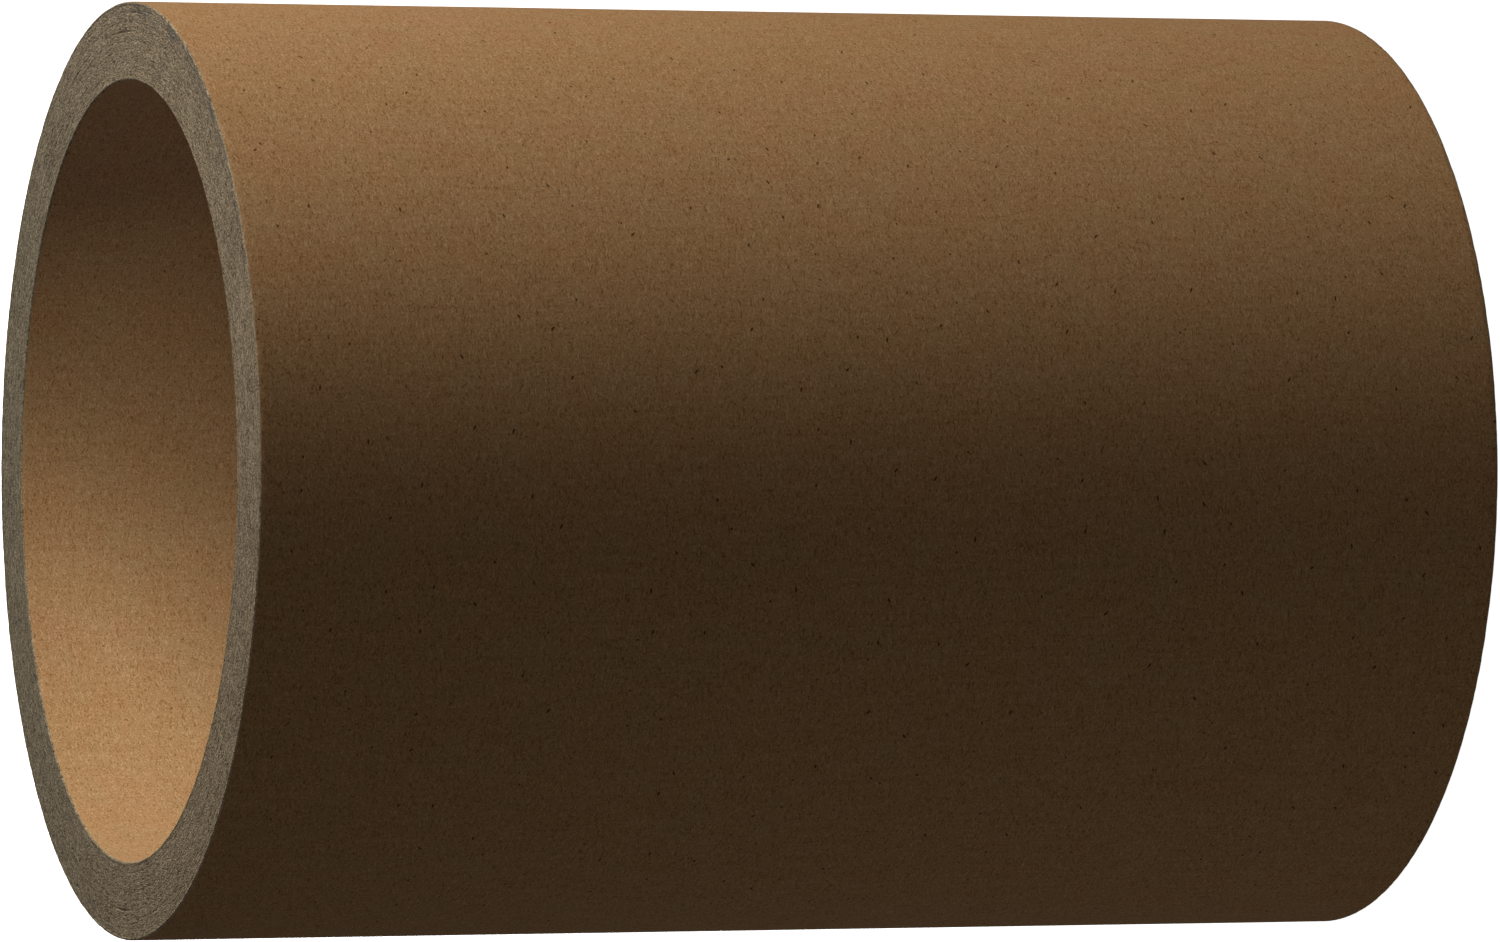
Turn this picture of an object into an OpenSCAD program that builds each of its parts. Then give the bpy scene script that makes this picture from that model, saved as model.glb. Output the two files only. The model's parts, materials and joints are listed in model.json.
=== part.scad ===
// Paper core: a straight tube wound from plies of board, with kraft paper inside and out,
// cut square at both ends. It stands on one end, with +Z along its axis and the origin at
// the middle of the lower end. Lengths are in millimetres.

/* [Core] */
// Outside diameter of the core
outer_d = 76.2; // [40:0.1:200]
// Thickness of the wound wall
wall_t = 6.35; // [3:0.05:15]
// Length from one cut end to the other
core_len = 104.775; // [20:0.005:600]

/* [Winding] */
// Number of plies wound into the wall
ply_count = 8; // [3:1:12]
// Width of the line that shows between two plies at a cut end
ply_line_w = 0.1; // [0.04:0.01:0.15]
// Depth of that line below the cut end
ply_line_depth = 0.15; // [0.05:0.01:0.5]

/* [Cut edges] */
// Radius that cutting leaves at the outside edges and the bore edges
edge_r = 0.15; // [0.05:0.05:0.5]

/* [Hidden] */

$fn = 180;
kraft_colour = "#a8825a";

bore_r = outer_d / 2 - wall_t;
// Distance from one ply line to the next, across the flat of a cut end
ply_pitch = (wall_t - 2 * edge_r) / ply_count;
// How far a cut reaches past the surface that it opens on
overrun = 0.5;

// What rounding takes off a square corner, with the corner at the origin
// and the wall above it and to its right
module edge_waste() {
    difference() {
        translate([-overrun, -overrun]) square(edge_r + overrun);
        translate([edge_r, edge_r]) circle(r = edge_r);
    }
}

// Notch of one ply line, open downwards through the end at the origin
module ply_notch() {
    half_w = ply_line_w / 2;
    polygon([
        [-half_w, -overrun],
        [-half_w, 0],
        [0, ply_line_depth],
        [half_w, 0],
        [half_w, -overrun],
    ]);
}

// All that is cut from one end of the wall: its two rounded edges and its ply lines
module end_cuts() {
    edge_waste();
    translate([wall_t, 0]) mirror([1, 0]) edge_waste();
    for (ply = [1 : ply_count - 1])
        translate([edge_r + ply * ply_pitch, 0]) ply_notch();
}

// Half-section of the wall, with radius along X and height along Y
module wall_section() {
    translate([bore_r, 0]) difference() {
        square([wall_t, core_len]);
        end_cuts();
        translate([0, core_len]) mirror([0, 1]) end_cuts();
    }
}

module paper_core() {
    color(kraft_colour) rotate_extrude() wall_section();
}

paper_core();
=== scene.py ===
import json
import math
from functools import partial
import bpy
from mathutils import Matrix, Vector


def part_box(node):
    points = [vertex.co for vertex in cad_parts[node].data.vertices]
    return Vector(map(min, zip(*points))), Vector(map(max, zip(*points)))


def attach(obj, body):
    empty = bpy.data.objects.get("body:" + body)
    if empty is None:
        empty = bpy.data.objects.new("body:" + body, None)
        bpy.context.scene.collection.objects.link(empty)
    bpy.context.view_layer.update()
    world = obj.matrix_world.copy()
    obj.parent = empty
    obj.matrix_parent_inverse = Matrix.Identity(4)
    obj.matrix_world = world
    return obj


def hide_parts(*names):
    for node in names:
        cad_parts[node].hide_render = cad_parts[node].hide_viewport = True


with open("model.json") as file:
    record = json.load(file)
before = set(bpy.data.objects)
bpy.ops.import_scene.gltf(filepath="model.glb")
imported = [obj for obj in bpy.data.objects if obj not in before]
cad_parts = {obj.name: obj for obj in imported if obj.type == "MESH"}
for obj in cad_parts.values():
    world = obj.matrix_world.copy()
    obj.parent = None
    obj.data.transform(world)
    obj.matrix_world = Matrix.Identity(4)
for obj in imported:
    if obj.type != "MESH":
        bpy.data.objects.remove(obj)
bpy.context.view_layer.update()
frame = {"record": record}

mm = 0.001
white = (1.0, 1.0, 1.0, 1.0)
coreNode = "paper_core"


def mountSize(name, size):
    mount = next(m for m in frame["record"]["mounts"] if m["name"] == name)
    return mount["dims"][size] * mm


lowCorner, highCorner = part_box(coreNode)
coreLength = highCorner.z - lowCorner.z
outerRadius = mountSize("outside", "r_mm")
boreRadius = mountSize("bore", "r_mm")
wallThickness = outerRadius - boreRadius
edgeRadius = (coreLength - mountSize("bore", "length_mm")) / 2  # the bore is straight between its edges
turnLength = math.tau * outerRadius  # once round the outside
sectionLength = 2 * (coreLength + wallThickness)  # once round the wall's section
patternMap = "OFBake"  # map over the whole skin: round the core, then along the wall's section
print("core", round(outerRadius / mm, 2), round(boreRadius / mm, 2), round(coreLength / mm, 2), "mm")


# Small helpers for node trees

def plug(tree, socket, value):
    if isinstance(value, bpy.types.NodeSocket):
        tree.links.new(value, socket)
    else:
        socket.default_value = value


def put(tree, kind, values=None, **settings):
    node = tree.nodes.new(kind)
    for name, value in settings.items():
        setattr(node, name, value)
    for key, value in (values or {}).items():
        plug(tree, node.inputs[key], value)
    return node


def calc(tree, operation, first, second=0.0):
    return put(tree, "ShaderNodeMath", {0: first, 1: second}, operation=operation).outputs[0]


def vectorCalc(tree, operation, first, second=(0.0, 0.0, 0.0), outlet="Vector"):
    node = put(tree, "ShaderNodeVectorMath", {0: first, 1: second}, operation=operation)
    return node.outputs[outlet]


# Eased from one range to another; a range may run downwards
def remap(tree, value, fromLow, fromHigh, toLow=0.0, toHigh=1.0):
    values = {0: value, 1: fromLow, 2: fromHigh, 3: toLow, 4: toHigh}
    return put(tree, "ShaderNodeMapRange", values, interpolation_type="SMOOTHSTEP").outputs[0]


def joined(tree, x, y, z=0.0):
    return put(tree, "ShaderNodeCombineXYZ", {0: x, 1: y, 2: z}).outputs[0]


def fromAxis(tree, place):
    level = vectorCalc(tree, "MULTIPLY", place, (1.0, 1.0, 0.0))
    return vectorCalc(tree, "LENGTH", level, outlet="Value")


def cloud(tree, vector, scale, detail=2.0, dimensions="3D"):
    values = {"Vector": vector, "Scale": scale, "Detail": detail}
    return put(tree, "ShaderNodeTexNoise", values, noise_dimensions=dimensions).outputs["Fac"]


# A cloud about zero, and one on the flat skin, where the place is already in the pattern's size
def evenCloud(tree, vector, scale, detail=2.0, dimensions="3D"):
    return calc(tree, "SUBTRACT", cloud(tree, vector, scale, detail, dimensions), 0.5)


def skinCloud(tree, spot, detail=1.0):
    return evenCloud(tree, spot, 1.0, detail, "2D")


# The wound wall: a rounded section carried round the axis, with its plies open a little at the cut ends

woundWall = {
    "Outer Radius": outerRadius,
    "Wall": wallThickness,
    "Length": coreLength,
    "Edge Radius": edgeRadius,  # rounding at the four cut edges
    "Edge Steps": 4,
    "Plies": 8,
    "Steps per Ply": 8,         # rows of faces across one ply
    "Side Rows": 24,            # rows of faces along each side, closer near the ends
    "Turn Steps": 480,          # faces round the core
    "Line Depth": 0.2 * mm,     # deepest gap between two plies
    "Line Closed": 0.12,        # share of that depth where the glue holds
    "Line Opens": 0.66,         # level of a cloud along the line from which it opens
    "Line Open": 0.86,          # level at which it has its full depth
    "Line Changes": 3.0,        # scale of that cloud, on a turn of radius 1
    "Ply Drop": 0.05 * mm,      # how far one ply's edge may sit below the next
    "Ply Changes": 1.5,         # scale, as for the lines
    "End Fuzz": 0.03 * mm,      # fibres pulled up by the cut
    "Tuft Length": 0.8 * mm,
    "Tuft Width": 0.16 * mm,
    "Side Wave": 0.04 * mm,     # unevenness of the two faced sides
    "Wave Scale": 70.0,         # per metre
    "Edge Wear": 0.025 * mm,    # nicks along the edges
    "Nick Scale": 900.0,        # per metre
    "Nick Detail": 3.0,
    "Nick Starts": 0.45,        # levels of a cloud, as for the lines
    "Nick Full": 0.7,
    "Paper Margin": 0.35,       # share of the edge radius that still counts as the paper's side
    "Weld": 0.001 * mm,         # closes the sheet where it meets itself
    "Seed": 11.0,
}
# lines that gape at the upper end: line from the bore, angle and half length in degrees
openLines = ((5, 0.6, 4.6), (5, 179.0, 3.8))
openDepth = 0.62  # share of the full depth
openMiddle = 0.4  # share of the half length that has it
lineStep, plyStep, endStep = 5.7, 3.1, 2.3  # keep one line's, ply's or end's pattern apart from the next


# Section of the wall, x across it and y along it, with rows of points for the plies and the sides
def wallSection(tree, given, halfWall, straight):
    do = partial(calc, tree)
    section = put(tree, "GeometryNodeCurvePrimitiveQuadrilateral",
                  {"Width": given["Wall"], "Height": given["Length"]}).outputs[0]
    section = put(tree, "GeometryNodeFilletCurve",
                  {"Curve": section, "Count": given["Edge Steps"], "Radius": given["Edge Radius"]},
                  mode="POLY").outputs[0]
    place = put(tree, "GeometryNodeInputPosition").outputs[0]
    index = put(tree, "GeometryNodeInputIndex").outputs[0]
    after = put(tree, "GeometryNodeOffsetPointInCurve", {"Point Index": index, "Offset": 1})
    nextPlace = put(tree, "GeometryNodeFieldAtIndex",
                    {"Index": after.outputs["Point Index"], "Value": place}, data_type="FLOAT_VECTOR")
    gap = vectorCalc(tree, "DISTANCE", place, nextPlace.outputs[0], "Value")
    isSide = do("GREATER_THAN", gap, given["Wall"])
    isEnd = do("SUBTRACT", do("GREATER_THAN", gap, halfWall), isSide)
    endRows = do("MULTIPLY", given["Plies"], given["Steps per Ply"])
    sideCuts = do("MULTIPLY", isSide, do("SUBTRACT", given["Side Rows"], 1.0))
    endCuts = do("MULTIPLY", isEnd, do("SUBTRACT", endRows, 1.0))
    section = put(tree, "GeometryNodeSubdivideCurve",
                  {"Curve": section, "Cuts": do("ADD", sideCuts, endCuts)}).outputs[0]

    # rows along the sides draw together towards the edges
    across, along = put(tree, "ShaderNodeSeparateXYZ", {0: place}).outputs[:2]
    inSide = do("MINIMUM", do("MAXIMUM", along, do("MULTIPLY", straight, -1.0)), straight)
    quarterTurn = do("MULTIPLY", do("DIVIDE", inSide, straight), math.pi / 2)
    eased = do("MULTIPLY", straight, do("SINE", quarterTurn))
    easedPlace = joined(tree, across, do("ADD", eased, do("SUBTRACT", along, inSide)))
    return put(tree, "GeometryNodeSetPosition", {"Geometry": section, "Position": easedPlace}).outputs[0]


# What the cut leaves at an end: creases along the ply lines, how far a place is sunk, and the flat of it
def cutRelief(tree, given, halfWall, across, along, cosine, sine):
    do = partial(calc, tree)
    endShift = do("ADD", do("MULTIPLY", do("SIGN", along), endStep), given["Seed"])

    # a line between each two plies, more open in some places than in others
    flat = do("SUBTRACT", given["Wall"], do("MULTIPLY", given["Edge Radius"], 2.0))
    fromBore = do("SUBTRACT", do("ADD", across, halfWall), given["Edge Radius"])
    ply = do("DIVIDE", do("MULTIPLY", fromBore, given["Plies"]), flat)
    line = do("ROUND", ply)
    offLine = do("MULTIPLY", do("ABSOLUTE", do("SUBTRACT", ply, line)), given["Steps per Ply"])
    isLine = do("MULTIPLY", do("GREATER_THAN", line, 0.5),
                do("LESS_THAN", line, do("SUBTRACT", given["Plies"], 0.5)))
    notch = do("MULTIPLY", isLine, do("MAXIMUM", do("SUBTRACT", 1.0, offLine), 0.0))
    lineSpot = joined(tree, cosine, sine, do("ADD", do("MULTIPLY", line, lineStep), endShift))
    opening = remap(tree, cloud(tree, lineSpot, given["Line Changes"]),
                    given["Line Opens"], given["Line Open"], given["Line Closed"], 1.0)
    for number, degrees, halfDegrees in openLines:
        middle = math.radians(degrees)
        half = math.radians(halfDegrees)
        facing = do("ADD", do("MULTIPLY", cosine, math.cos(middle)),
                    do("MULTIPLY", sine, math.sin(middle)))
        gape = remap(tree, facing, math.cos(half), math.cos(openMiddle * half), 0.0, openDepth)
        onLine = do("MULTIPLY", do("COMPARE", line, number), do("GREATER_THAN", along, 0.0))
        opening = do("MAXIMUM", opening, do("MULTIPLY", gape, onLine))
    crease = do("MULTIPLY", notch, opening)

    # plies that end at slightly different heights, and fuzz
    isFlat = do("LESS_THAN", do("ABSOLUTE", across), do("SUBTRACT", halfWall, given["Edge Radius"]))
    plySpot = joined(tree, cosine, sine, do("ADD", do("MULTIPLY", do("FLOOR", ply), plyStep), endShift))
    drop = do("MULTIPLY", cloud(tree, plySpot, given["Ply Changes"]), given["Ply Drop"])
    tufts = do("DIVIDE", given["Outer Radius"], given["Tuft Length"])
    fuzzSpot = joined(tree, do("MULTIPLY", cosine, tufts), do("MULTIPLY", sine, tufts),
                      do("DIVIDE", across, given["Tuft Width"]))
    fuzz = do("MULTIPLY", cloud(tree, fuzzSpot, 1.0), given["End Fuzz"])
    sunk = do("MULTIPLY", do("ADD", drop, fuzz), isFlat)
    sunk = do("ADD", sunk, do("MULTIPLY", crease, given["Line Depth"]))
    return crease, sunk, isFlat


# The outside and the bore have their own paper, and what lies between them is the cut
def facedSkin(tree, given, skin, halfLength, straight):
    do = partial(calc, tree)
    place = put(tree, "GeometryNodeInputPosition").outputs[0]
    height = put(tree, "ShaderNodeSeparateXYZ", {0: place}).outputs[2]
    radius = fromAxis(tree, place)
    onSide = do("LESS_THAN", do("ABSOLUTE", do("SUBTRACT", height, halfLength)), straight)
    margin = do("MULTIPLY", given["Edge Radius"], given["Paper Margin"])
    boreWall = do("SUBTRACT", given["Outer Radius"], given["Wall"])
    inBore = do("MULTIPLY", onSide, do("LESS_THAN", radius, do("ADD", boreWall, margin)))
    nearOutside = do("GREATER_THAN", radius, do("SUBTRACT", given["Outer Radius"], margin))
    onOutside = do("MULTIPLY", onSide, nearOutside)
    skin = put(tree, "GeometryNodeSetMaterial",
               {"Geometry": skin, "Material": given["Cut End"]}).outputs[0]
    for where, name in ((inBore, "Bore"), (onOutside, "Outside")):
        skin = put(tree, "GeometryNodeSetMaterial",
                   {"Geometry": skin, "Selection": where, "Material": given[name]}).outputs[0]
    return skin


def wallTree():
    tree = bpy.data.node_groups.new("woundWallTree", "GeometryNodeTree")
    for name, value in woundWall.items():
        kind = "NodeSocketInt" if isinstance(value, int) else "NodeSocketFloat"
        tree.interface.new_socket(name, in_out="INPUT", socket_type=kind)
    for name in ("Outside", "Bore", "Cut End"):
        tree.interface.new_socket(name, in_out="INPUT", socket_type="NodeSocketMaterial")
    tree.interface.new_socket("Geometry", in_out="OUTPUT", socket_type="NodeSocketGeometry")
    given = put(tree, "NodeGroupInput").outputs
    do = partial(calc, tree)
    halfWall = do("MULTIPLY", given["Wall"], 0.5)
    halfLength = do("MULTIPLY", given["Length"], 0.5)
    straight = do("SUBTRACT", halfLength, given["Edge Radius"])  # half of a side, between its edges
    section = wallSection(tree, given, halfWall, straight)

    # a sheet with one column for each step of the turn and one row for each point of the section
    place = put(tree, "GeometryNodeInputPosition").outputs[0]
    index = put(tree, "GeometryNodeInputIndex").outputs[0]
    sectionSize = put(tree, "GeometryNodeAttributeDomainSize", {0: section}, component="CURVE")
    count = sectionSize.outputs["Point Count"]
    rows = do("ADD", count, 1.0)
    columns = do("ADD", given["Turn Steps"], 1.0)
    sheet = put(tree, "GeometryNodeMeshGrid", {"Vertices X": columns, "Vertices Y": rows}).outputs["Mesh"]
    row = do("FLOORED_MODULO", index, rows)
    column = do("FLOOR", do("DIVIDE", index, rows))
    sectionRow = do("FLOORED_MODULO", row, count)
    point = put(tree, "GeometryNodeSampleIndex",
                {"Geometry": section, "Index": sectionRow, "Value": place}, data_type="FLOAT_VECTOR")
    across, along = put(tree, "ShaderNodeSeparateXYZ", {0: point.outputs[0]}).outputs[:2]
    factor = put(tree, "GeometryNodeSplineParameter").outputs["Factor"]
    run = put(tree, "GeometryNodeSampleIndex",
              {"Geometry": section, "Index": sectionRow, "Value": factor}, data_type="FLOAT")
    isLast = do("GREATER_THAN", do("ADD", row, 0.5), count)
    sectionShare = do("MAXIMUM", run.outputs[0], isLast)
    turnShare = do("DIVIDE", column, given["Turn Steps"])
    angle = do("ADD", do("MULTIPLY", turnShare, math.tau), math.pi / 2)  # starts at the back
    cosine = do("COSINE", angle)
    sine = do("SINE", angle)
    crease, sunk, isFlat = cutRelief(tree, given, halfWall, across, along, cosine, sine)

    # sides a little out of true, edges a little worn
    radius = do("ADD", do("SUBTRACT", given["Outer Radius"], halfWall), across)
    height = do("ADD", halfLength, along)
    trueSpot = joined(tree, do("MULTIPLY", radius, cosine), do("MULTIPLY", radius, sine), height)
    wave = do("MULTIPLY", evenCloud(tree, trueSpot, given["Wave Scale"]), given["Side Wave"])
    atEnd = do("GREATER_THAN", do("ABSOLUTE", along), straight)
    isEdge = do("MULTIPLY", do("SUBTRACT", 1.0, isFlat), atEnd)
    nick = remap(tree, cloud(tree, trueSpot, given["Nick Scale"], given["Nick Detail"]),
                 given["Nick Starts"], given["Nick Full"], 0.0, given["Edge Wear"])
    nick = do("MULTIPLY", nick, isEdge)
    radius = do("ADD", radius, do("SUBTRACT", wave, do("MULTIPLY", nick, do("SIGN", across))))
    height = do("SUBTRACT", height, do("MULTIPLY", do("SIGN", along), do("ADD", sunk, nick)))
    spot = joined(tree, do("MULTIPLY", radius, cosine), do("MULTIPLY", radius, sine), height)

    # shares and creases are kept on the sheet before its edges are joined
    kept = put(tree, "GeometryNodeCaptureAttribute", {0: sheet}, domain="POINT")
    skinShares = joined(tree, turnShare, sectionShare)
    for name, kind, value in (("spot", "VECTOR", spot), ("crease", "FLOAT", crease),
                              ("shares", "VECTOR", skinShares)):
        kept.capture_items.new(kind, name)
        tree.links.new(value, kept.inputs[name])
    skin = put(tree, "GeometryNodeStoreNamedAttribute",
               {"Geometry": kept.outputs[0], "Name": patternMap, "Value": kept.outputs["shares"]},
               data_type="FLOAT2", domain="CORNER").outputs[0]
    skin = put(tree, "GeometryNodeStoreNamedAttribute",
               {"Geometry": skin, "Name": "crease", "Value": kept.outputs["crease"]},
               data_type="FLOAT", domain="POINT").outputs[0]
    skin = put(tree, "GeometryNodeSetPosition",
               {"Geometry": skin, "Position": kept.outputs["spot"]}).outputs[0]
    skin = put(tree, "GeometryNodeMergeByDistance",
               {"Geometry": skin, "Distance": given["Weld"]}).outputs[0]
    skin = put(tree, "GeometryNodeSetShadeSmooth", {"Geometry": skin}).outputs[0]
    skin = put(tree, "GeometryNodeRealizeInstances", {"Geometry": skin}).outputs[0]
    put(tree, "NodeGroupOutput", {0: facedSkin(tree, given, skin, halfLength, straight)})
    return tree


# The tree's result as a plain mesh, with no modifier left on it
def plainPiece(name, tree, values):
    piece = bpy.data.objects.new(name, bpy.data.meshes.new(name + "Start"))
    bpy.context.collection.objects.link(piece)
    modifier = piece.modifiers.new(tree.name, "NODES")
    modifier.node_group = tree
    for item in tree.interface.items_tree:
        if item.in_out == "INPUT":
            modifier[item.identifier] = values[item.name]
    shaped = piece.evaluated_get(bpy.context.evaluated_depsgraph_get())
    mesh = bpy.data.meshes.new_from_object(shaped)
    piece.modifiers.remove(modifier)
    piece.data = mesh
    if mesh.materials[0] is None:  # the tree leaves an empty first slot
        mesh.materials.pop(index=0)
    return piece


# Finishes. Pattern sizes are in millimetres on the skin, round the core first and then along it.

fibres = {
    "feltStep": (17.3, 9.1, 0.0),   # how far each layer of felt is moved from the one before it
    "feltFade": 7.0,                # how fast a line of felt fades to its sides
    "feltHeight": 0.55,             # height of its middle
    "grainShift": (5.0, 2.0, 0.0),  # where the grain, the strands and the flecks start
    "strandShift": 7.0,
    "fleckShift": 3.0,
    "strandBody": 0.55,             # share of a strand's reach that is solid
}


def newMaterial(name):
    material = bpy.data.materials.new(name)
    material.use_nodes = True
    return material, material.node_tree.nodes["Principled BSDF"]


def skinPlace(tree):
    shares = put(tree, "ShaderNodeUVMap", uv_map=patternMap).outputs[0]
    return vectorCalc(tree, "MULTIPLY", shares, (turnLength / mm, sectionLength / mm, 0.0))


def turned(tree, vector, size, angle=0.0, shift=(0.0, 0.0, 0.0)):
    values = {"Vector": vector, "Location": shift, "Rotation": (0.0, 0.0, math.radians(angle)),
              "Scale": (size[0], size[1], 1.0)}
    return put(tree, "ShaderNodeMapping", values, vector_type="TEXTURE").outputs[0]


def tint(tree, factor, first, second, blend="MIX"):
    mixed = put(tree, "ShaderNodeMix", data_type="RGBA", blend_type=blend)
    for key, value in (("Factor_Float", factor), ("A_Color", first), ("B_Color", second)):
        plug(tree, next(s for s in mixed.inputs if s.identifier == key), value)
    return next(s for s in mixed.outputs if s.identifier == "Result_Color")


def added(tree, first, second, weight):
    values = {0: second, 1: weight, 2: first}
    return put(tree, "ShaderNodeMath", values, operation="MULTIPLY_ADD").outputs[0]


# A felt of fine lines: each layer is a stretched cloud whose middle level is drawn as a line
def felt(tree, vector, layers):
    total = 0.0
    for number, (angle, length, width, weight) in enumerate(layers):
        shift = Vector(fibres["feltStep"]) * number
        spot = turned(tree, vector, (length, width), angle, shift)
        level = calc(tree, "ABSOLUTE", skinCloud(tree, spot))
        off = calc(tree, "MINIMUM", calc(tree, "MULTIPLY", level, fibres["feltFade"]), 1.0)
        total = added(tree, total, calc(tree, "SUBTRACT", fibres["feltHeight"], off), weight)
    return total


# Short strands, one in each cell of the skin, turned up to swing degrees from the turn of the core.
# Gives how far a place is inside its cell's strand, and that strand's own chance from 0 to 1.
def strands(tree, vector, cell, longest, width, swing, shift):
    spot = turned(tree, vector, cell, 0.0, (shift, shift, 0.0))
    cells = put(tree, "ShaderNodeTexVoronoi", {"Vector": spot, "Scale": 1.0}, voronoi_dimensions="2D")
    chance = put(tree, "ShaderNodeSeparateColor", {0: cells.outputs["Color"]}).outputs
    offset = vectorCalc(tree, "SUBTRACT", spot, cells.outputs["Position"])
    offset = vectorCalc(tree, "MULTIPLY", offset, (cell[0], cell[1], 1.0))
    turn = calc(tree, "MULTIPLY", calc(tree, "SUBTRACT", chance[0], 0.5), 2 * math.radians(swing))
    offset = put(tree, "ShaderNodeVectorRotate", {"Vector": offset, "Angle": turn},
                 rotation_type="Z_AXIS").outputs[0]
    halfLong = remap(tree, chance[1], 0.0, 1.0, width, longest)
    reach = vectorCalc(tree, "DIVIDE", offset, joined(tree, halfLong, width, 1.0))
    inside = remap(tree, vectorCalc(tree, "LENGTH", reach, outlet="Value"), 1.0, fibres["strandBody"])
    return inside, chance[2]


# Relief of a sheet, felt and a fine grain, and its tone, which has short strands pale and dark as well
def fibreTone(tree, vector, sheet):
    grain = skinCloud(tree, turned(tree, vector, sheet["grain"], 0.0, fibres["grainShift"]), 0.0)
    relief = added(tree, felt(tree, vector, sheet["feltLayers"]), grain, sheet["grainWeight"])
    tone = calc(tree, "ADD", relief, 0.5)
    for number, (cell, longest, width, swing, weight) in enumerate(sheet["strandLayers"]):
        shift = fibres["strandShift"] + number
        inside, chance = strands(tree, vector, cell, longest, width, swing, shift)
        shade = calc(tree, "MULTIPLY", inside, calc(tree, "SUBTRACT", chance, 0.5))
        tone = added(tree, tone, shade, weight)
    return relief, tone


# Deep, middle and pale colour by a tone from 0 to 1
def threeTones(tree, tone, deep, middle, pale):
    colour = tint(tree, remap(tree, tone, 0.0, 0.5), deep, middle)
    return tint(tree, remap(tree, tone, 0.5, 1.0), colour, pale)


# What a sheet's shader has in common: its colour, its relief and a weak gloss
def dress(tree, shader, sheet, colour, relief):
    tree.links.new(colour, shader.inputs["Base Color"])
    bump = put(tree, "ShaderNodeBump", {"Strength": 1.0, "Distance": sheet["bump"], "Height": relief})
    tree.links.new(bump.outputs[0], shader.inputs["Normal"])
    shader.inputs["Specular IOR Level"].default_value = sheet["specular"]


kraftPaper = {
    "paper": (0.345, 0.188, 0.078),
    "palePaper": (0.453, 0.267, 0.129),
    "deepPaper": (0.226, 0.106, 0.033),
    "fleck": (0.072, 0.027, 0.004),
    "redder": (1.02, 0.993, 0.985, 1.0),   # how the sheet's colour wanders
    "greener": (0.98, 1.007, 1.007, 1.0),
    "wanderLevels": (0.3, 0.7),            # levels of a cloud: all redder, all greener
    # angle to the turn, length, width and weight of a layer of felt
    "feltLayers": ((10, 0.8, 0.34, 0.13), (80, 0.7, 0.32, 0.13)),
    # cell, greatest half length, half width, swing and weight of a layer of strands
    "strandLayers": (((0.86, 0.41), 0.44, 0.072, 30, 0.87), ((0.61, 0.29), 0.32, 0.065, 40, 0.95),
                     ((0.72, 0.34), 0.38, 0.068, 30, 0.87)),
    "grain": (0.17, 0.14),
    "grainWeight": 0.8,
    "mottleScale": 330.0,                  # formation of the sheet, per metre
    "mottleWeight": 0.15,
    "streak": (0.35, 7.0),                 # faint lines along the core: width, length
    "streakWeight": 0.22,
    # cell, share of cells, greatest half length, half width and strength of a layer of flecks
    "fleckLayers": (((3.9, 3.9), 0.55, 0.30, 0.110, 0.95), ((1.9, 1.9), 0.40, 0.28, 0.082, 0.55)),
    "fleckSwing": 50,
    "roughness": (0.96, 0.82),             # where the tone is deep, and where it is pale
    "roughLevels": (0.2, 0.8),
    "bump": 0.007 * mm,
    "specular": 0.12,
}


def paperFinish(name, lift, flecked):
    material, shader = newMaterial(name)
    tree = material.node_tree
    vector = skinPlace(tree)
    place = put(tree, "ShaderNodeTexCoord").outputs["Object"]

    def lifted(key):
        return tuple(part * more for part, more in zip(kraftPaper[key], lift)) + (1.0,)

    relief, tone = fibreTone(tree, vector, kraftPaper)
    mottle = evenCloud(tree, place, kraftPaper["mottleScale"])
    streak = skinCloud(tree, turned(tree, vector, kraftPaper["streak"]))
    tone = added(tree, tone, mottle, kraftPaper["mottleWeight"])
    tone = added(tree, tone, streak, kraftPaper["streakWeight"])
    colour = threeTones(tree, tone, lifted("deepPaper"), lifted("paper"), lifted("palePaper"))
    wander = remap(tree, cloud(tree, place, kraftPaper["mottleScale"], 1.0), *kraftPaper["wanderLevels"])
    cast = tint(tree, wander, kraftPaper["redder"], kraftPaper["greener"])
    colour = tint(tree, 1.0, colour, cast, "MULTIPLY")
    for number, (cell, share, longest, width, strength) in enumerate(kraftPaper["fleckLayers"]):
        shift = fibres["fleckShift"] + number
        inside, chance = strands(tree, vector, cell, longest, width, kraftPaper["fleckSwing"], shift)
        dark = calc(tree, "MULTIPLY", inside, calc(tree, "LESS_THAN", chance, share))
        dark = calc(tree, "MULTIPLY", dark, strength * flecked)
        colour = tint(tree, dark, colour, lifted("fleck"))
    roughness = remap(tree, tone, *kraftPaper["roughLevels"], *kraftPaper["roughness"])
    tree.links.new(roughness, shader.inputs["Roughness"])
    dress(tree, shader, kraftPaper, colour, relief)
    return material


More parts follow.
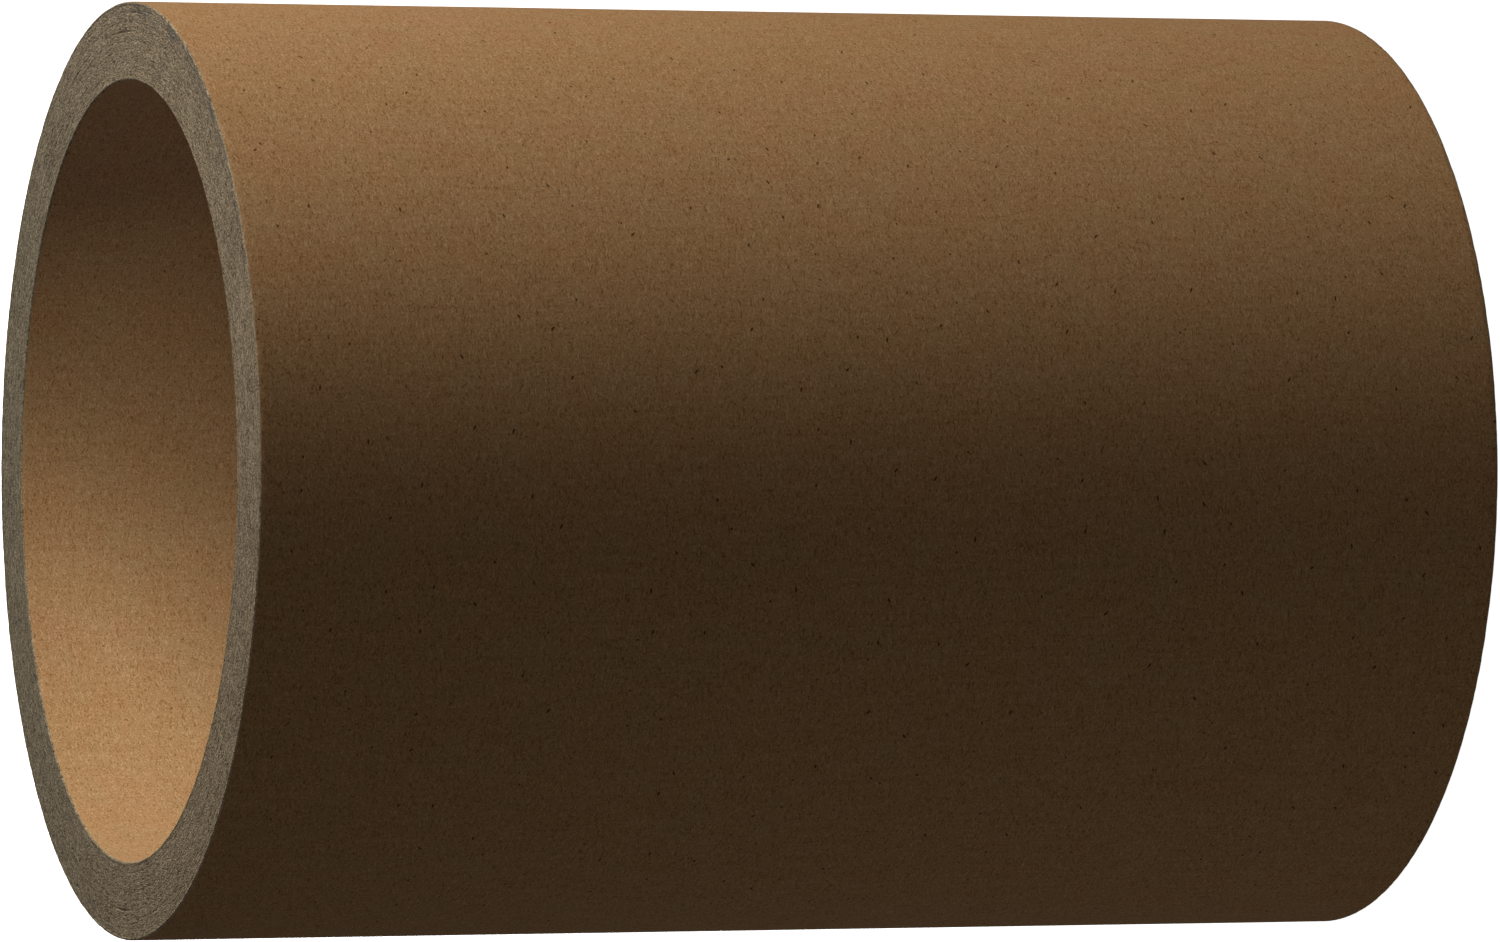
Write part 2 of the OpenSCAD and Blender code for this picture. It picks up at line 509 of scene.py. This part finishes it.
cutBoard = {
    "board": (0.265, 0.194, 0.117, 1.0),
    "paleBoard": (0.485, 0.385, 0.245, 1.0),
    "darkBoardAndCreaseShade": (0.072, 0.054, 0.034, 1.0),
    # layers as for the paper
    "feltLayers": ((3, 1.9, 0.24, 0.29), (-12, 1.4, 0.22, 0.26)),
    "strandLayers": (((0.84, 0.84), 0.52, 0.047, 16, 1.45), ((0.47, 0.47), 0.27, 0.047, 90, 1.45),
                     ((0.71, 0.71), 0.45, 0.047, 20, 1.45)),
    "grain": (0.2, 0.12),
    "grainWeight": 0.62,
    "drag": (0.17, 0.5),                         # fibres pulled one way by the blade: width, length
    "dragWeight": 0.75,
    "swirl": (0.9, 0.35),                        # size of a swirl, and how far it pulls the fibres
    "mottleScale": 250.0,                        # per metre
    "mottleWeight": 0.35,
    "streakBoard": (0.078, 0.085, 0.085, 1.0),   # greyer lines near the outside
    "streak": (2.6, 0.16),                       # length, width
    "streakTilt": 3.0,                           # degrees from the turn
    "streakLevels": (0.02, 0.16),                # levels of a cloud: a line starts, and is full
    "streakShare": 0.85,
    "streakReach": (1.9 * mm, 0.57 * mm),        # depth below the outside: none of them, and all
    "streakEdge": (0.1 * mm, 0.3 * mm),          # the same, nearer the outside
    "streakSide": (0.866, -0.5, 0.0),            # where they are strongest, as a direction from the axis
    "streakFacing": (0.7, 0.92),                 # shares of the radius that way: none of them, and all
    "paintedBackShade": (0.82, 0.87, 0.89, 1.0),         # painted shade: the board darker and greyer towards the back
    "backStart": -0.4,                           # share of the radius where that starts
    "backWander": 20.0 * mm,
    "rimPaperAndHighlight": (0.43, 0.30, 0.18, 1.0),              # cut edge of the facing paper, with painted highlight on one side
    "rimWidth": 0.26 * mm,
    "rimLeast": 0.3,                             # share of the width that doesn't follow the tone
    "rimSide": (-0.5, -0.866, 0.0),              # where the painted highlight shows most
    "rimFacing": (0.1, 0.8),
    "rimShare": 0.6,
    "creaseStart": 0.15,                         # share of a line's depth from which painted shade darkens it
    "creaseShade": 0.8,
    "roughness": 0.95,
    "bump": 0.05 * mm,
    "specular": 0.1,
}


# How much a place faces one side of the end, eased between two shares of the outside radius
def facingShare(tree, place, side, shares, most=1.0):
    facing = vectorCalc(tree, "DOT_PRODUCT", place, side, "Value")
    return remap(tree, facing, shares[0] * outerRadius, shares[1] * outerRadius, 0.0, most)


def swirled(tree, vector):
    size, reach = cutBoard["swirl"]
    values = {"Vector": vector, "Scale": 1.0 / size, "Detail": 1.0}
    pull = put(tree, "ShaderNodeTexNoise", values, noise_dimensions="2D").outputs["Color"]
    pull = vectorCalc(tree, "SUBTRACT", pull, (0.5, 0.5, 0.5))
    pull = vectorCalc(tree, "MULTIPLY", pull, (reach, reach, 0.0))
    return vectorCalc(tree, "ADD", vector, pull)


def greyLines(tree, vector, place, inward):
    spot = turned(tree, vector, cutBoard["streak"], cutBoard["streakTilt"])
    lines = remap(tree, skinCloud(tree, spot), *cutBoard["streakLevels"], 0.0, cutBoard["streakShare"])
    for name in ("streakReach", "streakEdge"):
        lines = calc(tree, "MULTIPLY", lines, remap(tree, inward, *cutBoard[name]))
    facing = facingShare(tree, place, cutBoard["streakSide"], cutBoard["streakFacing"])
    return calc(tree, "MULTIPLY", lines, facing)


# The facing paper's pale cut edge at the bore and the outside, partly a painted highlight that is
# strongest on one side
def paperRimAndHighlight(tree, tone, place, radius, inward):
    width = calc(tree, "MULTIPLY", calc(tree, "ADD", tone, cutBoard["rimLeast"]), cutBoard["rimWidth"])
    atBore = remap(tree, calc(tree, "SUBTRACT", radius, boreRadius), width, 0.0)
    rimPaperAndHighlight = calc(tree, "MAXIMUM", atBore, remap(tree, inward, width, 0.0))
    facing = facingShare(tree, place, cutBoard["rimSide"], cutBoard["rimFacing"], cutBoard["rimShare"])
    return calc(tree, "MULTIPLY", rimPaperAndHighlight, facing)


def boardFinish(name):
    material, shader = newMaterial(name)
    tree = material.node_tree
    place = put(tree, "ShaderNodeTexCoord").outputs["Object"]
    radius = fromAxis(tree, place)
    inward = calc(tree, "SUBTRACT", outerRadius, radius)  # depth below the outside
    vector = swirled(tree, skinPlace(tree))
    relief, tone = fibreTone(tree, vector, cutBoard)
    mottle = evenCloud(tree, place, cutBoard["mottleScale"])
    flat = vectorCalc(tree, "MULTIPLY", place, (1.0 / mm, 1.0 / mm, 0.0))
    drag = skinCloud(tree, turned(tree, flat, cutBoard["drag"]))
    tone = added(tree, tone, mottle, cutBoard["mottleWeight"])
    tone = added(tree, tone, drag, cutBoard["dragWeight"])
    colour = threeTones(tree, tone, cutBoard["darkBoardAndCreaseShade"], cutBoard["board"], cutBoard["paleBoard"])
    colour = tint(tree, greyLines(tree, vector, place, inward), colour, cutBoard["streakBoard"])
    # painted shade: the board darkened and greyed towards the back of the end
    back = put(tree, "ShaderNodeSeparateXYZ", {0: place}).outputs[1]
    back = added(tree, back, mottle, cutBoard["backWander"])
    back = remap(tree, back, cutBoard["backStart"] * outerRadius, outerRadius)
    colour = tint(tree, 1.0, colour, tint(tree, back, white, cutBoard["paintedBackShade"]), "MULTIPLY")
    colour = tint(tree, paperRimAndHighlight(tree, tone, place, radius, inward), colour, cutBoard["rimPaperAndHighlight"])
    # painted shade: the board darkened in the open lines between the plies
    crease = put(tree, "ShaderNodeAttribute", attribute_name="crease").outputs["Fac"]
    shade = remap(tree, crease, cutBoard["creaseStart"], 1.0, 0.0, cutBoard["creaseShade"])
    colour = tint(tree, shade, colour, cutBoard["darkBoardAndCreaseShade"])
    shader.inputs["Roughness"].default_value = cutBoard["roughness"]
    dress(tree, shader, cutBoard, colour, relief)
    return material


# how far each paper's colour is lifted, and how strong its flecks are; the bore's paper is lifted paler
# and greyer as painted light, offsetting the red light bounced inside the bore
wallFinishes = {
    "Outside": paperFinish("kraftOutside", (1.0, 1.0, 1.0), 1.0),
    "Bore": paperFinish("kraftBore", (1.06, 1.11, 1.2), 0.6),
    "Cut End": boardFinish("cutBoardEnd"),
}
wall = plainPiece("woundWall", wallTree(), woundWall | wallFinishes)
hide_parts(coreNode)
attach(wall, "root")
print("wall", len(wall.data.polygons), "faces", [m.name for m in wall.data.materials])


# Studio: white floor, a soft key light, one on the other side, one behind, and three for the bore

studio = {
    "floorSize": 3.0,              # from the core to an edge of the floor, in metres
    "floorPaint": (0.12, 0.12, 0.12, 1.0),
    "floorGlow": white,
    "ambient": 0.102,              # strength of the air as a light
    "backdrop": 1.0,               # and as the camera sees it
    # places in metres, spread in degrees
    "lights": {
        "keyLight": {"place": (0.30, -0.012, 0.25), "aim": (0.0, 0.0, 0.06), "size": 0.20, "watts": 1.17},
        "boreLamp": {"place": (-0.002, -0.002, 0.1035), "aim": (-0.024, 0.020, 0.098), "size": 0.016,
                     "watts": 0.00387, "colour": (1.0, 0.975, 0.852)},
        "coolLamp": {"place": (-0.012, -0.004, 0.096), "aim": (0.03, 0.010, 0.088), "size": 0.016,
                     "watts": 0.00124, "colour": (0.137, 0.573, 1.0)},
        "boreBeam": {"place": (0.2, -0.34, 0.50), "aim": (-0.006, 0.010, 0.095), "size": 0.02,
                     "watts": 0.0009, "spread": 5},
        "lowLight": {"place": (-0.6, -0.1, 0.25), "aim": (0.0, 0.0, -0.01), "size": 0.05,
                     "watts": 0.0015, "spread": 20},
        "backLight": {"place": (-0.04, 0.8, 0.09), "aim": (0.0, 0.0, 0.05), "size": 0.25, "watts": 2.6},
    },
}


def floorPiece():
    half = studio["floorSize"]
    mesh = bpy.data.meshes.new("floor")
    corners = [(-half, -half, 0.0), (half, -half, 0.0), (half, half, 0.0), (-half, half, 0.0)]
    mesh.from_pydata(corners, [], [(0, 1, 2, 3)])
    floor = bpy.data.objects.new("floor", mesh)
    bpy.context.collection.objects.link(floor)
    material, shader = newMaterial("paleFloor")
    shader.inputs["Base Color"].default_value = studio["floorPaint"]
    shader.inputs["Emission Color"].default_value = studio["floorGlow"]
    shader.inputs["Emission Strength"].default_value = 1.0
    mesh.materials.append(material)
    floor.visible_diffuse = False  # it shows, but throws no light back on the core
    floor.visible_glossy = False


def lightPiece(name, place, aim, size, watts, spread=180, colour=(1.0, 1.0, 1.0)):
    lamp = bpy.data.lights.new(name, "AREA")
    lamp.shape = "DISK"
    lamp.size = size
    lamp.spread = math.radians(spread)
    lamp.energy = watts
    lamp.color = colour
    light = bpy.data.objects.new(name, lamp)
    light.location = place
    light.rotation_euler = (Vector(aim) - Vector(place)).to_track_quat("-Z", "Y").to_euler()
    light.visible_camera = False
    bpy.context.collection.objects.link(light)


def studioAir():
    world = bpy.data.worlds.new("studioAir")
    world.use_nodes = True
    tree = world.node_tree
    background = tree.nodes["Background"]
    seen = put(tree, "ShaderNodeLightPath").outputs["Is Camera Ray"]
    strength = remap(tree, seen, 0.0, 1.0, studio["ambient"], studio["backdrop"])
    background.inputs["Color"].default_value = white
    tree.links.new(strength, background.inputs["Strength"])
    bpy.context.scene.world = world


floorPiece()
for name, values in studio["lights"].items():
    lightPiece(name, **values)
studioAir()
bpy.context.scene.view_settings.view_transform = "Standard"
print("studio", len(studio["lights"]), "lights")


# Camera: a long lens, rolled so that the core lies across the picture with its upper end at the left

camera = {
    "elevation": 19.52,            # degrees above the horizon
    "distance": 838.9 * mm,        # to the aim, on the axis
    "aimBelowMiddle": 1.49 * mm,
    "lens": 242.6,                 # focal length and sensor width, in mm as the camera has them
    "sensor": 36.0,
}


def cameraPiece():
    slope = math.radians(camera["elevation"])
    forward = Vector((0.0, math.cos(slope), -math.sin(slope)))
    up = Vector((1.0, 0.0, 0.0))
    right = forward.cross(up)
    aim = Vector((0.0, 0.0, coreLength / 2 - camera["aimBelowMiddle"]))
    turn = Matrix((right, up, -forward)).transposed().to_4x4()
    seen = bpy.data.objects.new("camera", bpy.data.cameras.new("camera"))
    seen.matrix_world = Matrix.Translation(aim - forward * camera["distance"]) @ turn
    seen.data.sensor_width = camera["sensor"]
    seen.data.lens = camera["lens"]
    bpy.context.collection.objects.link(seen)
    bpy.context.scene.camera = seen


cameraPiece()
print("camera", round(camera["distance"] / mm), "mm away")
